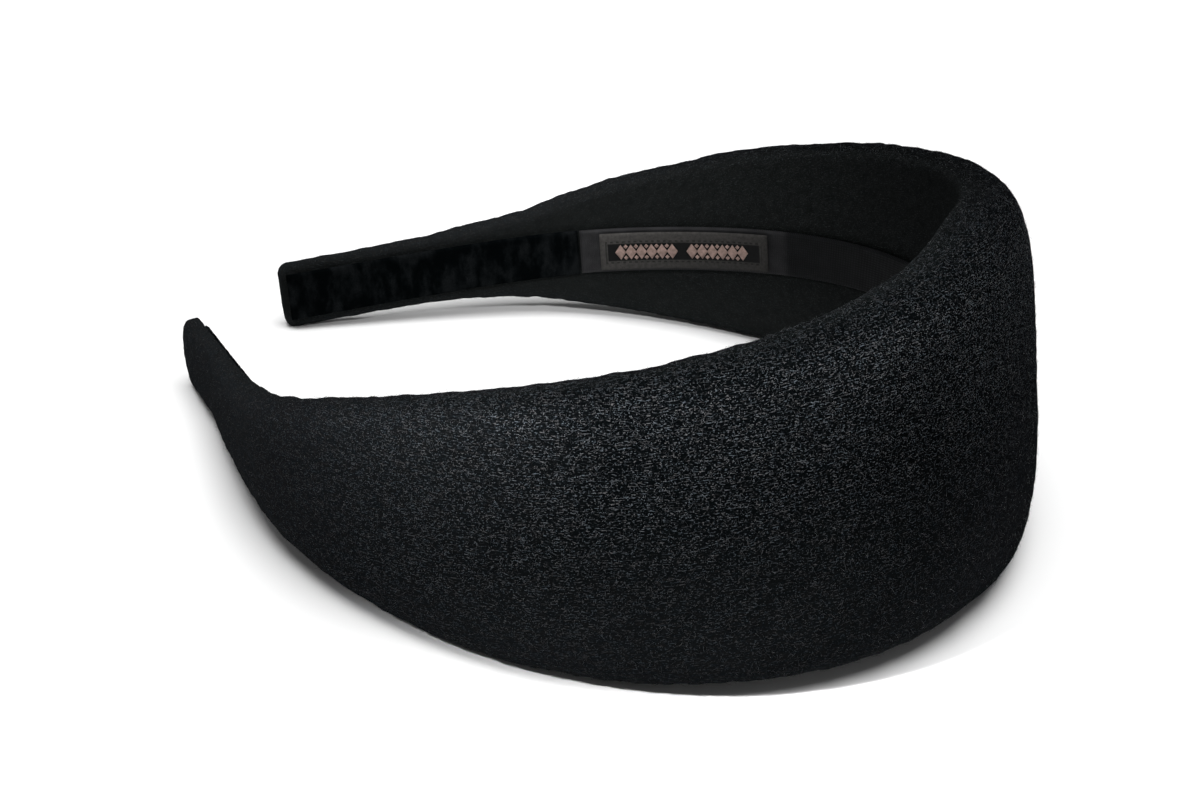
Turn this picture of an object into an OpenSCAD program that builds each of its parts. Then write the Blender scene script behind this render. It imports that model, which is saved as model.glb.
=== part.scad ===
// A wide padded headband that lies on its side edge, as it rests on a table.
// The band is drawn upright first: the crown's inner face stands at the origin, +Y points away from
// the head and the arms run back to -Y. It is then tilted until the crown and both tips touch the table.

/* [Band] */
// Length of the band along its inner face, from tip to tip
band_length = 379; // [340:1:420]
// Width of the band at the crown
crown_width = 61.5; // [50:0.5:76]
// Thickness of the pad at the crown
crown_pad = 12; // [9:0.5:15]
// Angle that each arm turns through, from the crown to its tab
arm_turn = 132.5; // [120:0.5:140]
// Angle by which the whole band leans in towards the head at its upper edge
band_lean = 3; // [0:0.5:6]

/* [Section] */
// Exponent of the domed outer face: 2 is an ellipse, more is squarer
dome_squareness = 4; // [2:0.1:5]
// Height of the widest place above the inner face, as a share of the pad's thickness
rim_height = 0.24; // [0.14:0.02:0.5]
// Rounding where the inner face turns out to the rim
inner_round = 2; // [1:0.25:3]

/* [End tabs] */
// Length of the thin tab at each end
tab_length = 19; // [12:1:26]
// Width of the tab
tab_width = 13.6; // [11:0.2:16]
// Thickness of the tab
tab_thickness = 3.2; // [2:0.1:5]
// Rounding of the tab's two corners, seen from the side
tab_corner = 2; // [1:0.25:5]

/* [Velvet ribbons] */
// Width of the velvet grip ribbon inside each arm
velvet_width = 9.6; // [6:0.2:10]
// Length of the velvet ribbon
velvet_length = 60.5; // [40:0.5:90]
// Thickness of the velvet ribbon
velvet_thickness = 1.2; // [0.6:0.1:2]
// Distance from the tip to the velvet ribbon's end
velvet_inset = 1; // [0.5:0.25:4]

/* [Centre tape] */
// Width of the woven tape along the middle of the inner face
tape_width = 9.4; // [6:0.2:14]
// Thickness of the tape
tape_thickness = 1; // [0.5:0.1:1.5]

/* [Woven label] */
// Length of the label along the tape
label_length = 36; // [20:0.5:50]
// Width of the label
label_width = 8; // [5:0.2:9]
// Thickness of the label
label_thickness = 1; // [0.5:0.1:1.5]
// Distance along the tape from the velvet ribbon to the label
label_inset = 4.5; // [2:0.5:20]

/* [Clearances] */
// Gap between a ribbon and what it lies on
glue_gap = 0.2; // [0.1:0.05:0.4]
// Gap between the end of the tape and the end of the velvet
end_gap = 0.4; // [0.2:0.1:1]

/* [Hidden] */

// Sections of one arm. PLACE is the share of the way from the crown to the tab, TURN the share of
// arm_turn made by then, WIDE the share of the way from the tab's width to the crown's, and PAD the
// share of the way from the tab's thickness to the crown's pad.
PLACE = 0;
TURN = 1;
WIDE = 2;
PAD = 3;
SECTIONS = [
    [0.00, 0.000, 1.000, 1.00],
    [0.12, 0.109, 0.900, 0.97],
    [0.25, 0.278, 0.820, 0.88],
    [0.40, 0.497, 0.705, 0.78],
    [0.55, 0.690, 0.543, 0.68],
    [0.70, 0.826, 0.310, 0.58],
    [0.82, 0.948, 0.096, 0.42],
    [0.92, 0.984, 0.018, 0.20],
    [1.00, 1.000, 0.000, 0.03],
];
LAST = len(SECTIONS) - 1;

// How finely the faceted solids are cut
PATH_STEPS = 190;
ARM_STEPS = 36;
TAB_STEPS = 6;
CORNER_STEPS = 4;
DOME_STEPS = 16;
ROUND_STEPS = 3;
RIBBON_STEP = 3.5;
SEAT_STEPS = 26;
STEEPEST_SEAT = 30;

half_length = band_length / 2;
arm_length = half_length - tab_length;
RIGHT = 1;
LEFT = -1;

// The sections' table as smooth curves

function row(share) = max([for (i = [0:LAST - 1]) share >= SECTIONS[i][PLACE] ? i : 0]);
function slope_between(i, j, column) =
    (SECTIONS[j][column] - SECTIONS[i][column]) / (SECTIONS[j][PLACE] - SECTIONS[i][PLACE]);
// The right arm's curve goes on into the left arm's, so the middle slope is that of a mirror image
function slope(i, column) =
    i == 0 ? (column == TURN ? slope_between(0, 1, column) : 0)
    : i == LAST ? slope_between(LAST - 1, LAST, column)
    : slope_between(i - 1, i + 1, column);
function blend(u, v0, v1, m0, m1) =
    (2 * u ^ 3 - 3 * u ^ 2 + 1) * v0 + (u ^ 3 - 2 * u ^ 2 + u) * m0
    + (3 * u ^ 2 - 2 * u ^ 3) * v1 + (u ^ 3 - u ^ 2) * m1;
function along(share, column) =
    let (i = row(share), gap = SECTIONS[i + 1][PLACE] - SECTIONS[i][PLACE])
    blend((share - SECTIONS[i][PLACE]) / gap, SECTIONS[i][column], SECTIONS[i + 1][column],
        slope(i, column) * gap, slope(i + 1, column) * gap);

// Heading, width and thickness at a distance d along the inner face from the crown

function arm_share(d) = min(d / arm_length, 1);
function heading(d) = arm_turn * along(arm_share(d), TURN);
function into_corner(d) = min(max(d - half_length + tab_corner, 0), tab_corner);
function corner_loss(d) = tab_corner - sqrt(tab_corner ^ 2 - into_corner(d) ^ 2);
function half_width(d) =
    (tab_width + (crown_width - tab_width) * along(arm_share(d), WIDE)) / 2 - corner_loss(d);
function pad(d) = tab_thickness + (crown_pad - tab_thickness) * along(arm_share(d), PAD);

// The inner face's line, seen from above, stepped along its heading

PATH = [
    for (
        i = 0, step = half_length / PATH_STEPS, x = 0, y = 0;
        i <= PATH_STEPS;
        x = x + step * cos(heading((i + 0.5) * step)),
        y = y - step * sin(heading((i + 0.5) * step)),
        i = i + 1
    ) [i * step, x, y]
];
PATH_X = [for (p = PATH) [p[0], p[1]]];
PATH_Y = [for (p = PATH) [p[0], p[2]]];

// A point at distance d along one arm, out from the inner face and up from its middle line
function band_point(side, d, out, up) =
    let (turn = heading(d), off = out - up * tan(band_lean))
    [side * (lookup(d, PATH_X) + sin(turn) * off), lookup(d, PATH_Y) + cos(turn) * off, up];

// The band's cross-section at distance d: the dome from the upper edge to the lower, then the inner face

function signed_power(v, e) = sign(v) * abs(v) ^ e;
function dome(d) =
    let (rim = rim_height * pad(d), e = 2 / dome_squareness)
    [for (i = [0:DOME_STEPS]) let (a = 180 * i / DOME_STEPS)
        [rim + (pad(d) - rim) * signed_power(sin(a), e), half_width(d) * signed_power(cos(a), e)]];
function inner_corner(d) =
    let (round = min(inner_round, 0.3 * half_width(d)), rim = rim_height * pad(d))
    [for (i = [1:ROUND_STEPS]) let (a = 90 * i / ROUND_STEPS)
        [rim * (1 - sin(a)), half_width(d) - round * (1 - cos(a))]];
function cross_section(d) =
    let (corner = inner_corner(d))
    concat(
        dome(d),
        [for (p = corner) [p[0], -p[1]]],
        [[0, 0]],
        [for (i = [ROUND_STEPS - 1:-1:0]) corner[i]]
    );

// Distances along one arm where the band is cut: the arm, its tab and the tab's rounded corner
ARM_CUTS = [for (i = [1:ARM_STEPS]) arm_length * i / ARM_STEPS];
TAB_CUTS = [for (i = [1:TAB_STEPS]) arm_length + (tab_length - tab_corner) * i / TAB_STEPS];
CORNER_CUTS = [for (i = [1:CORNER_STEPS]) half_length - tab_corner * (1 - sin(90 * i / CORNER_STEPS))];
CUTS = concat(ARM_CUTS, TAB_CUTS, CORNER_CUTS);

function ring(side, d, outline) = [for (p = outline) band_point(side, d, p[0], p[1])];
// Each ring runs from the left tip over the crown to the right tip
BAND_RINGS = concat(
    [for (i = [len(CUTS) - 1:-1:0]) ring(LEFT, CUTS[i], cross_section(CUTS[i]))],
    [ring(RIGHT, 0, cross_section(0))],
    [for (d = CUTS) ring(RIGHT, d, cross_section(d))]
);

// The tilt at which the crown and the tips reach the same table

TIP_POINTS = [for (d = CUTS) if (d > arm_length) each ring(RIGHT, d, cross_section(d))];
CROWN_POINTS = [for (d = concat([0], ARM_CUTS)) if (d < arm_length / 2) each ring(RIGHT, d, cross_section(d))];
function height(p, tilt) = p.y * sin(tilt) + p.z * cos(tilt);
function depth(p, tilt) = p.y * cos(tilt) - p.z * sin(tilt);
function lowest(points, tilt) = min([for (p = points) height(p, tilt)]);
function seat_tilt(low, high, steps) =
    let (middle = (low + high) / 2)
    steps == 0 ? middle
    : lowest(CROWN_POINTS, middle) < lowest(TIP_POINTS, middle)
        ? seat_tilt(middle, high, steps - 1)
        : seat_tilt(low, middle, steps - 1);

rest_tilt = seat_tilt(0, STEEPEST_SEAT, SEAT_STEPS);
rest_lift = -min(lowest(CROWN_POINTS, rest_tilt), lowest(TIP_POINTS, rest_tilt));
all_depths = [for (r = BAND_RINGS) for (p = r) depth(p, rest_tilt)];
rest_shift = -(min(all_depths) + max(all_depths)) / 2;

module at_rest() {
    translate([0, rest_shift, rest_lift]) rotate([rest_tilt, 0, 0]) children();
}

// A solid through a list of rings, closed by its first and last ring
module skin(rings) {
    count = len(rings[0]);
    last = len(rings) - 1;
    function at(i, j) = i * count + j % count;
    sides = [for (i = [0:last - 1]) for (j = [0:count - 1])
        each [[at(i, j), at(i + 1, j), at(i + 1, j + 1)], [at(i, j), at(i + 1, j + 1), at(i, j + 1)]]];
    first_cap = [for (j = [0:count - 1]) at(0, j)];
    last_cap = [for (j = [count - 1:-1:0]) at(last, j)];
    polyhedron(points = [for (r = rings) each r], faces = concat(sides, [first_cap, last_cap]), convexity = 6);
}

// A flat ribbon on the inner face from one signed distance to another: left of the crown is negative
module ribbon(from, to, width, thickness, over) {
    steps = ceil((to - from) / RIBBON_STEP);
    outline = [[-over, width / 2], [-over, -width / 2], [-over - thickness, -width / 2], [-over - thickness, width / 2]];
    skin([for (i = [0:steps]) let (d = from + (to - from) * i / steps) ring(d < 0 ? LEFT : RIGHT, abs(d), outline)]);
}

velvet_start = half_length - velvet_inset - velvet_length;
tape_reach = velvet_start - end_gap;
label_over = glue_gap + tape_thickness + glue_gap;
label_start = velvet_start - label_inset;

module padded_band() {
    color([0.035, 0.037, 0.043]) at_rest() skin(BAND_RINGS);
}

module velvet_ribbon_right() {
    color([0.015, 0.015, 0.018]) at_rest()
        ribbon(velvet_start, velvet_start + velvet_length, velvet_width, velvet_thickness, glue_gap);
}

module velvet_ribbon_left() {
    color([0.015, 0.015, 0.018]) at_rest()
        ribbon(-velvet_start - velvet_length, -velvet_start, velvet_width, velvet_thickness, glue_gap);
}

module centre_tape() {
    color([0.07, 0.066, 0.07]) at_rest() ribbon(-tape_reach, tape_reach, tape_width, tape_thickness, glue_gap);
}

module woven_label() {
    color([0.2, 0.17, 0.17]) at_rest()
        ribbon(-label_start, -label_start + label_length, label_width, label_thickness, label_over);
}

padded_band();
velvet_ribbon_right();
velvet_ribbon_left();
centre_tape();
woven_label();
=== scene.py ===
"""The looks of a wide padded headband: knitted cover, velvet grip ribbons, woven tape and label."""
import math

import bpy
import numpy as np
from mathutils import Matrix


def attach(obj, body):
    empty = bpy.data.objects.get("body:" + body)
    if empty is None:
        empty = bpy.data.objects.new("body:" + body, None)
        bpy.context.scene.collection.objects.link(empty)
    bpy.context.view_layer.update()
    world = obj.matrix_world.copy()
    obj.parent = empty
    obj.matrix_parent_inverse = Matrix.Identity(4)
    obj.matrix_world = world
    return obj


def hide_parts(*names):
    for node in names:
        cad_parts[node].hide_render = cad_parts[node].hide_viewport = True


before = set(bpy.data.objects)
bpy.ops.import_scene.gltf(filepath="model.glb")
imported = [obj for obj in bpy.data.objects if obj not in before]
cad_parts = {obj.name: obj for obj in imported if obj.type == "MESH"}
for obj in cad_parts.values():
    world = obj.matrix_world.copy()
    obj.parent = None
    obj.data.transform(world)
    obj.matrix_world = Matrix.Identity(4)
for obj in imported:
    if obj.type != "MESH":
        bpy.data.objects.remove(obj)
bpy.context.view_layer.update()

MM = 0.001

# The camera, fitted to the photograph's outline: metres, degrees, and millimetres for the lens
CAMERA_PLACE = (0.26547, 0.09712, 0.15447)
CAMERA_TURN = (62.912, -5.081, 112.708)
CAMERA_LENS = 53.157
SENSOR_WIDTH = 36.0

# Sizes of the band in millimetres, as the construction has them
BAND_LENGTH = 379.0
CROWN_WIDTH = 61.5
CROWN_PAD = 12.0
ARM_TURN = 132.5
BAND_LEAN = 3.0
DOME_SQUARENESS = 4.0
RIM_SHARE = 0.24
INNER_ROUND = 2.0
INNER_ROUND_SHARE = 0.3
RIM_CROWDING = 1.6
TAB_LENGTH = 19.0
TAB_WIDTH = 13.6
TAB_THICKNESS = 3.2
TAB_CORNER = 2.0
VELVET_WIDTH = 9.6
VELVET_LENGTH = 60.5
VELVET_THICKNESS = 1.2
VELVET_INSET = 1.0
TAPE_WIDTH = 9.4
TAPE_THICKNESS = 1.0
LABEL_LENGTH = 36.0
LABEL_WIDTH = 8.0
LABEL_THICKNESS = 1.0
LABEL_INSET = 4.5
GLUE_GAP = 0.2
END_GAP = 0.4

# Sections of one arm: place along it, share of the turn, share of the width, share of the pad
PLACE, TURN, WIDE, PAD = range(4)
SECTIONS = np.array([
    (0.00, 0.000, 1.000, 1.00),
    (0.12, 0.109, 0.900, 0.97),
    (0.25, 0.278, 0.820, 0.88),
    (0.40, 0.497, 0.705, 0.78),
    (0.55, 0.690, 0.543, 0.68),
    (0.70, 0.826, 0.310, 0.58),
    (0.82, 0.948, 0.096, 0.42),
    (0.92, 0.984, 0.018, 0.20),
    (1.00, 1.000, 0.000, 0.03),
])
HALF_LENGTH = BAND_LENGTH / 2
ARM_LENGTH = HALF_LENGTH - TAB_LENGTH
VELVET_START = HALF_LENGTH - VELVET_INSET - VELVET_LENGTH
TAPE_REACH = VELVET_START - END_GAP
LABEL_FROM = -(VELVET_START - LABEL_INSET)
LABEL_OVER = GLUE_GAP + TAPE_THICKNESS + GLUE_GAP

# Steps of the band's path, and spots that each cross-section is first drawn with
PATH_STEPS = 190
DOME_SPOTS = 600
BEND_SPOTS = 40

# The label's window and the woven motif in it, in millimetres
LABEL_MIDDLE = LABEL_FROM + LABEL_LENGTH / 2
WINDOW_REACH = 16.3
WINDOW_HALF = 1.85
MOTIF_MIDDLE = LABEL_MIDDLE - 0.5
MOTIF_RISE = -0.05
MOTIF_PITCH = 2.2
MOTIF_HALF_LENGTH = 1.22
MOTIF_HALF_HEIGHT = 1.68
MOTIF_GROUP = 6
MOTIF_GROUP_AWAY = 7.6
NOTCH_AWAY = 1.2
NOTCH_HALF_LENGTH = 0.5
NOTCH_HALF_HEIGHT = 0.5


def along(share, column):
    """One column of the sections as a smooth curve."""
    at = SECTIONS[:, PLACE]
    value = SECTIONS[:, column]
    steps = np.diff(value) / np.diff(at)
    slope = np.zeros(len(value))
    slope[1:-1] = (value[2:] - value[:-2]) / (at[2:] - at[:-2])
    slope[0] = steps[0] if column == TURN else 0.0
    slope[-1] = steps[-1]
    i = np.clip(np.searchsorted(at, share, side="right") - 1, 0, len(at) - 2)
    gap = at[i + 1] - at[i]
    u = (share - at[i]) / gap
    first = (2 * u ** 3 - 3 * u ** 2 + 1) * value[i] + (u ** 3 - 2 * u ** 2 + u) * gap * slope[i]
    second = (3 * u ** 2 - 2 * u ** 3) * value[i + 1] + (u ** 3 - u ** 2) * gap * slope[i + 1]
    return first + second


def arm_share(d):
    """Distance from the crown as a share of the arm, 1 all along the tab."""
    return np.minimum(np.asarray(d, float) / ARM_LENGTH, 1.0)


def heading(d):
    """How far the band has turned at distance d, in radians."""
    return np.radians(ARM_TURN * along(arm_share(d), TURN))


def half_width(d):
    """Half the band's width at distance d, rounded off at the tab's corners."""
    into = np.clip(np.asarray(d, float) - HALF_LENGTH + TAB_CORNER, 0.0, TAB_CORNER)
    loss = TAB_CORNER - np.sqrt(np.maximum(TAB_CORNER ** 2 - into ** 2, 0.0))
    return (TAB_WIDTH + (CROWN_WIDTH - TAB_WIDTH) * along(arm_share(d), WIDE)) / 2 - loss


def pad(d):
    """The band's thickness at distance d."""
    return TAB_THICKNESS + (CROWN_PAD - TAB_THICKNESS) * along(arm_share(d), PAD)


PATH_STEP = HALF_LENGTH / PATH_STEPS
PATH_D = np.arange(PATH_STEPS + 1) * PATH_STEP
PATH_HEADING = heading(PATH_D[:-1] + PATH_STEP / 2)
PATH_X = np.concatenate([[0.0], np.cumsum(PATH_STEP * np.cos(PATH_HEADING))])
PATH_Y = np.concatenate([[0.0], -np.cumsum(PATH_STEP * np.sin(PATH_HEADING))])


def upright(s, out, up):
    """A point at signed distance s from the crown, out from the inner face and up from its middle."""
    side = np.where(np.asarray(s, float) < 0, -1.0, 1.0)
    d = np.abs(np.asarray(s, float))
    turn = heading(d)
    off = out - up * math.tan(math.radians(BAND_LEAN))
    x = side * (np.interp(d, PATH_D, PATH_X) + np.sin(turn) * off)
    y = np.interp(d, PATH_D, PATH_Y) + np.cos(turn) * off
    return np.stack([x, y, up + 0.0 * off], -1)


def shared_out(line, wanted):
    """Spots at the wanted shares of a line's length, and that length."""
    length = np.concatenate([[0.0], np.cumsum(np.hypot(np.diff(line[0]), np.diff(line[1])))])
    return [np.interp(wanted * length[-1], length, values) for values in line], length[-1]


def outline_at(d, share):
    """The closed cross-section at distance d, at the given shares of the way round it: 0 to 1 up the
    inner face, to 2 over the dome and to 3 back. Also how far each spot is along the cloth from the
    dome's middle, and how far past the rim it is on the inner face."""
    wide = float(half_width(d))
    thick = float(pad(d))
    rim = RIM_SHARE * thick
    power = 2 / DOME_SQUARENESS
    over = np.linspace(0.0, math.pi, DOME_SPOTS)
    dome = (
        rim + (thick - rim) * np.abs(np.sin(over)) ** power,
        wide * np.sign(np.cos(over)) * np.abs(np.cos(over)) ** power,
    )
    bend = min(INNER_ROUND, INNER_ROUND_SHARE * wide)
    round_bend = np.linspace(math.pi / 2, 0.0, BEND_SPOTS)
    inner = (
        np.concatenate([[0.0], rim * (1 - np.sin(round_bend))]),
        np.concatenate([[0.0], wide - bend * (1 - np.cos(round_bend))]),
    )
    before = share < 1
    after = share > 2
    top, inner_length = shared_out(inner, share[before])
    arch, dome_length = shared_out(dome, share[~before & ~after] - 1)
    bottom, inner_length = shared_out(inner, 3 - share[after])
    out = np.concatenate([top[0], arch[0], bottom[0]])
    up = np.concatenate([top[1], arch[1], -bottom[1]])
    ends = np.cumsum([0.0, inner_length, dome_length, inner_length])
    along_cloth = ends[-1] / 2 - np.interp(share, [0, 1, 2, 3], ends)
    return out, up, along_cloth, np.abs(along_cloth) - dome_length / 2


def round_share(dome_count, inner_count):
    """Shares of the way round a ring, closer together towards the rims on the inner face."""
    crowd = (np.arange(inner_count + 1) / inner_count) ** RIM_CROWDING
    dome = 1 + np.arange(dome_count) / dome_count
    return np.concatenate([1 - crowd[:0:-1], dome, 2 + crowd])


def ring_at(s, share):
    """One ring of the upright band."""
    out, up = outline_at(abs(s), share)[:2]
    return upright(s, out, up)


# How the band rests: tilted until the crown and both tips touch the floor

REST_SHARE = round_share(dome_count=60, inner_count=30)
ARM_RINGS = 36
CROWN_RINGS = 18
TAB_RINGS = 6
CORNER_RINGS = 4
STEEPEST_TILT = 30
TILT_TRIES = 30
MEASURED_COUNT = 381


def height(points, tilt):
    """How high points or directions of the upright band reach once it is tilted."""
    return points[..., 1] * math.sin(tilt) + points[..., 2] * math.cos(tilt)


def rest_tilt():
    """The tilt at which crown and tips are equally low, in radians, and the lift onto the floor."""
    tips = [ARM_LENGTH + (TAB_LENGTH - TAB_CORNER) * i / TAB_RINGS for i in range(1, TAB_RINGS + 1)]
    turns = [math.radians(90 / CORNER_RINGS * i) for i in range(1, CORNER_RINGS + 1)]
    tips += [HALF_LENGTH - TAB_CORNER * (1 - math.sin(turn)) for turn in turns]
    crown = [ARM_LENGTH * i / ARM_RINGS for i in range(CROWN_RINGS)]
    tip_rings = np.array([ring_at(d, REST_SHARE) for d in tips])
    crown_rings = np.array([ring_at(d, REST_SHARE) for d in crown])
    low, high = 0.0, math.radians(STEEPEST_TILT)
    for _ in range(TILT_TRIES):
        middle = (low + high) / 2
        if height(crown_rings, middle).min() < height(tip_rings, middle).min():
            low = middle
        else:
            high = middle
    return middle, -height(crown_rings, middle).min()


REST_TILT, REST_LIFT = rest_tilt()


def tilted(points):
    """Points of the upright band as it rests, still in millimetres."""
    y = points[..., 1] * math.cos(REST_TILT) - points[..., 2] * math.sin(REST_TILT)
    return np.stack([points[..., 0], y, height(points, REST_TILT) + REST_LIFT], -1)


MEASURED_S = np.linspace(-HALF_LENGTH, HALF_LENGTH, MEASURED_COUNT)
MEASURED_Y = tilted(np.array([ring_at(s, REST_SHARE) for s in MEASURED_S]))[..., 1]
REST_SHIFT = -(MEASURED_Y.min() + MEASURED_Y.max()) / 2


def placed(points):
    """Millimetres of the upright band as metres of the shared frame."""
    return (tilted(points) + np.array([0.0, REST_SHIFT, 0.0])) * MM


# Smooth noise on a lattice, from a fixed seed

NOISE_CELLS = 64
NOISE_SHIFT = 17.31
NOISE_TABLE = np.random.default_rng(7).uniform(-1.0, 1.0, (NOISE_CELLS, NOISE_CELLS, NOISE_CELLS))


def noise(points, size, seed):
    """Values from -1 to 1 that change smoothly over the given size, in millimetres."""
    p = points / size + seed * NOISE_SHIFT
    cell = np.floor(p).astype(int)
    f = p - cell
    f = f * f * (3 - 2 * f)
    total = 0.0
    for corner in np.ndindex(2, 2, 2):
        at = (cell + np.array(corner)) % NOISE_CELLS
        value = NOISE_TABLE[at[..., 0], at[..., 1], at[..., 2]]
        for axis, far in enumerate(corner):
            value = value * (f[..., axis] if far else 1 - f[..., axis])
        total = total + value
    return total


def bumps(points, waves, first_seed):
    """The sum of several noises, each with its own height and size in millimetres."""
    return sum(high * noise(points, size, first_seed + k) for k, (high, size) in enumerate(waves))


# Meshes

# Millimetres of cloth in one unit of the pieces' maps
MAP_UNIT = 100.0


def unit(v):
    """Vectors brought to length 1."""
    return v / np.maximum(np.linalg.norm(v, axis=-1, keepdims=True), 1e-9)


def map_cloth(mesh, places):
    """Gives each corner of each face its place on the cloth, in millimetres."""
    layer = mesh.uv_layers.new(name="cloth")
    layer.data.foreach_set("uv", (places / MAP_UNIT).astype(np.float32).ravel())


def new_piece(name, mesh):
    """A smooth-shaded object of the mesh, in the scene."""
    mesh.polygons.foreach_set("use_smooth", np.ones(len(mesh.polygons), bool))
    mesh.update()
    piece = bpy.data.objects.new(name, mesh)
    bpy.context.scene.collection.objects.link(piece)
    return piece


def add_values(piece, name, values):
    """Gives each point of a piece a value that its material reads."""
    layer = piece.data.attributes.new(name, "FLOAT", "POINT")
    layer.data.foreach_set("value", values.astype(np.float32).ravel())


def grid_mesh(name, points, cloth):
    """A closed mesh through rings of points, where each ring's last point is its first one again.
    cloth holds each point's place on the cloth, in millimetres."""
    rings = len(points)
    count = points.shape[1] - 1
    here = np.arange(rings - 1)[:, None] * count
    j = np.arange(count)[None, :]
    nxt = (j + 1) % count
    sides = np.stack([here + j, here + count + j, here + count + nxt, here + nxt], -1)
    side_map = np.stack([cloth[:-1, :-1], cloth[1:, :-1], cloth[1:, 1:], cloth[:-1, 1:]], 2)
    polygons = [tuple(face) for face in sides.reshape(-1, 4).tolist()]
    last_ring = range((rings - 1) * count, rings * count)
    polygons += [tuple(range(count)), tuple(reversed(last_ring))]
    mesh = bpy.data.meshes.new(name)
    mesh.from_pydata(points[:, :-1].reshape(-1, 3).tolist(), [], polygons)
    map_cloth(mesh, np.concatenate([side_map.reshape(-1, 2), cloth[0, :-1], cloth[-1, :-1][::-1]]))
    return new_piece(name, mesh)


def normals_of(grid):
    """Outward normals of a closed grid of rings, from its neighbours."""
    a = np.gradient(grid, axis=0)
    ring = grid[:, :-1]
    b = np.roll(ring, -1, 1) - np.roll(ring, 1, 1)
    b = np.concatenate([b, b[:, :1]], 1)
    return unit(np.cross(b, a))


# The padded cover, in millimetres. The soft counts and steps are those of the simulated cloth

DOME_COUNT = 100
INNER_COUNT = 25
RING_STEP = 0.6
CORNER_STEPS = 6
SOFT_DOME_COUNT = 44
SOFT_INNER_COUNT = 8
SOFT_RING_STEP = 2.4
SOFT_CORNER_STEPS = 2
PRESS_FRAMES = 20
PRESS_CAP = 0.5
RIM_SOFTNESS = 0.06

# Height and size of the foam's slow waves, of the crepe's bumps and of the pucker along the rims
SLOW_WAVES = ((0.16, 17.0), (0.11, 6.5))
FINE_WAVES = ((0.09, 2.1), (0.07, 1.1))
PUCKERS = ((0.26, 3.8), (0.18, 1.6))
GLUED_RELIEF = 0.35
PUCKER_BEFORE_RIM = 1.5
PUCKER_REACH = 4.0
FLAT_PAST_RIM = 2.0
FLAT_RELIEF = 0.05

# Where a quality of the cover begins and where it is full, in millimetres from the crown
OFF_TABS = (ARM_LENGTH - 4.0, ARM_LENGTH - 22.0)
TOWARDS_TIP = (72.0, 137.0)
TOWARDS_CROWN = (95.0, 35.0)
# The same in millimetres past the rim
LOOSE_PAST_RIM = (4.0, 1.5)
INSIDE_PAST_RIM = (-3.5, 4.0)
# The same in shares of the half width above the middle
TOWARDS_FOOT = (0.85, -0.15)
BELOW_MIDDLE = (0.2, -0.8)
# The same in the upward part of the outward direction
FACING_UP = (0.42, 0.92)

# How strongly each place has its knit dashes evened out, and how strongly painted shade darkens it: on the
# lower face, on the upward-facing top and on the lining towards the crown, cleared towards the tips
FOOT_GLINTS_EVENED = 0.75
FOOT_SHADE = 0.6
TOP_SHADE = 0.62
LINING_CROWN_SHADE = 0.4
TIP_CLEAR = 0.9


def fade(value, zero_at, one_at):
    """0 at one value and 1 at another, in proportion between them and level beyond."""
    return np.clip((value - zero_at) / (one_at - zero_at), 0.0, 1.0)


def cover_stations(step, end_count):
    """Signed distances of the cover's rings, closer together round the tabs' corners."""
    flat = np.arange(-HALF_LENGTH + TAB_CORNER, HALF_LENGTH - TAB_CORNER + step / 2, step)
    turns = np.arange(1, end_count + 1) / end_count * math.pi / 2
    ends = HALF_LENGTH - TAB_CORNER * (1 - np.sin(turns))
    return np.concatenate([-ends[::-1], flat, ends])


def cover_grid(stations, share):
    """The cover's rings in the upright frame, their places on the cloth, their outward normals, and how
    far past the rim each point lies on the inner face."""
    rings = []
    cloth = []
    past_rim = []
    turn = np.sign(stations) * heading(np.abs(stations))
    thick = pad(np.abs(stations))
    steps = np.diff(stations) + (thick[1:] + thick[:-1]) / 2 * np.diff(turn)
    outer = np.concatenate([[0.0], np.cumsum(steps)])
    outer -= np.interp(0.0, stations, outer)
    for s, u in zip(stations, outer):
        out, up, v, past = outline_at(abs(s), share)
        rings.append(upright(s, out, up))
        cloth.append(np.stack([np.full(len(v), u), v], -1))
        past_rim.append(past)
    grid = np.array(rings)
    normal = normals_of(grid)
    if normal[len(grid) // 2, len(grid[0]) // 2, 1] < 0:
        normal = -normal
    return grid, np.array(cloth), normal, np.array(past_rim)


def on_dome(share):
    """1 on the padded dome, 0 on the glued inner face, with a soft step at the rims."""
    away = np.minimum(share - 1.0, 2.0 - share)
    return np.clip(away / RIM_SOFTNESS + 0.5, 0.0, 1.0)


def off_tabs(stations):
    """1 along the padded arms, 0 on the flat tabs."""
    return fade(np.abs(stations), *OFF_TABS)


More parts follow.
